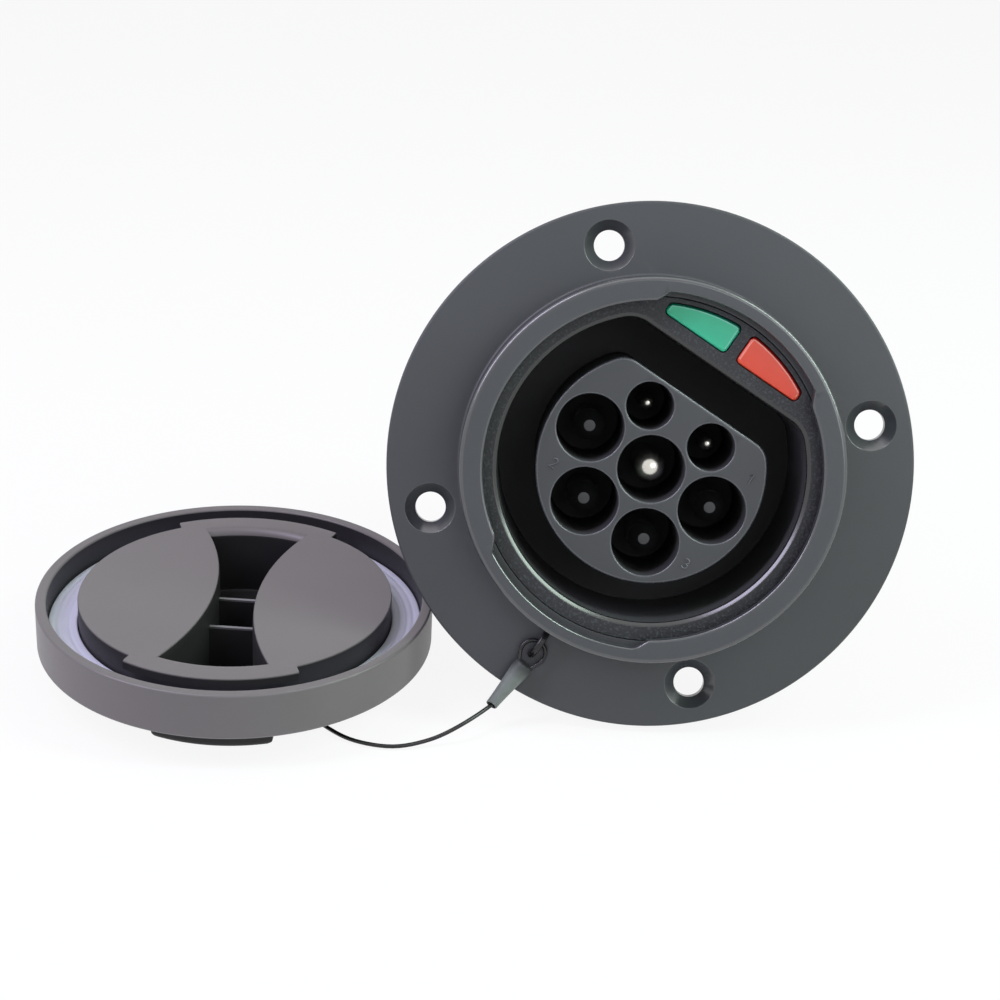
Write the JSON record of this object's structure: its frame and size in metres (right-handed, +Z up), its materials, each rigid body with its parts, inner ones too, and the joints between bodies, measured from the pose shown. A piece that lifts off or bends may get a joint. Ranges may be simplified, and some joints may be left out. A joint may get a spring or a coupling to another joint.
{
  "type": "charge port inlet",
  "caption": "Round-flanged vehicle charge port inlet with a D-shaped socket, pin contacts, status lamps, a rear cable gland and a bayonet dust cap on a wire tether.",
  "frame": {"origin": "on the table, under the middle of the inlet and its cap as they lie", "axes": "+X from the cap to the inlet, +Y to the rear of the inlet, +Z up"},
  "size_m": [0.1676, 0.109, 0.0953],
  "materials": {
    "housing_plastic": "satin, fine texture",
    "insert_plastic": "matte, fine texture",
    "core_plastic": "satin",
    "contact_metal": "silver plated, turned",
    "tip_plastic": "matte",
    "lens_green": "translucent",
    "lens_red": "translucent",
    "board": "solder mask",
    "lamp": "clear resin",
    "rear_plastic": "satin",
    "screw_steel": "zinc plated",
    "seal_rubber": "matte",
    "gland_plastic": "satin",
    "cap_plastic": "satin",
    "cap_silicone": "soft sheen",
    "tether_coat": "smooth coat",
    "sleeve_plastic": "shrunk sleeve",
    "ferrule_metal": "bright"
  },
  "bodies": {
    "inlet": {"flange_body": "housing_plastic", "socket_insert": "insert_plastic", "contact_core": "core_plastic", "lens_green": "lens_green", "lens_red": "lens_red", "lamp_board": "board", "lamp_leds": "lamp", "contact_retainer": "rear_plastic", "retainer_screws": "screw_steel", "rear_cover": "rear_plastic", "cover_seal": "seal_rubber", "cover_screws": "screw_steel", "gland_body": "gland_plastic", "gland_locknut": "gland_plastic", "gland_seal": "seal_rubber", "gland_nut": "gland_plastic", "panel_seal": "seal_rubber", "contact_l1": "contact_metal", "contact_l2": "contact_metal", "contact_l3": "contact_metal", "contact_n": "contact_metal", "contact_pe": "contact_metal", "contact_cp": "contact_metal", "contact_pp": "contact_metal", "tip_l1": "tip_plastic", "tip_l2": "tip_plastic", "tip_l3": "tip_plastic", "tip_n": "tip_plastic"},
    "tethered_cap": {"cap_shell": "cap_plastic", "cap_seal": "cap_silicone", "tether_loop": "tether_coat", "tether_sleeve": "sleeve_plastic", "tether_wire": "tether_coat", "tether_ferrule": "ferrule_metal"}
  },
  "joints": [
    {"name": "cap_swing", "type": "hinge", "parent": "inlet", "child": "tethered_cap", "pos_m": [0.01482, -0.02967, 0.01648], "axis": [0, 0, 1], "range_deg": [0, 30]}
  ]
}
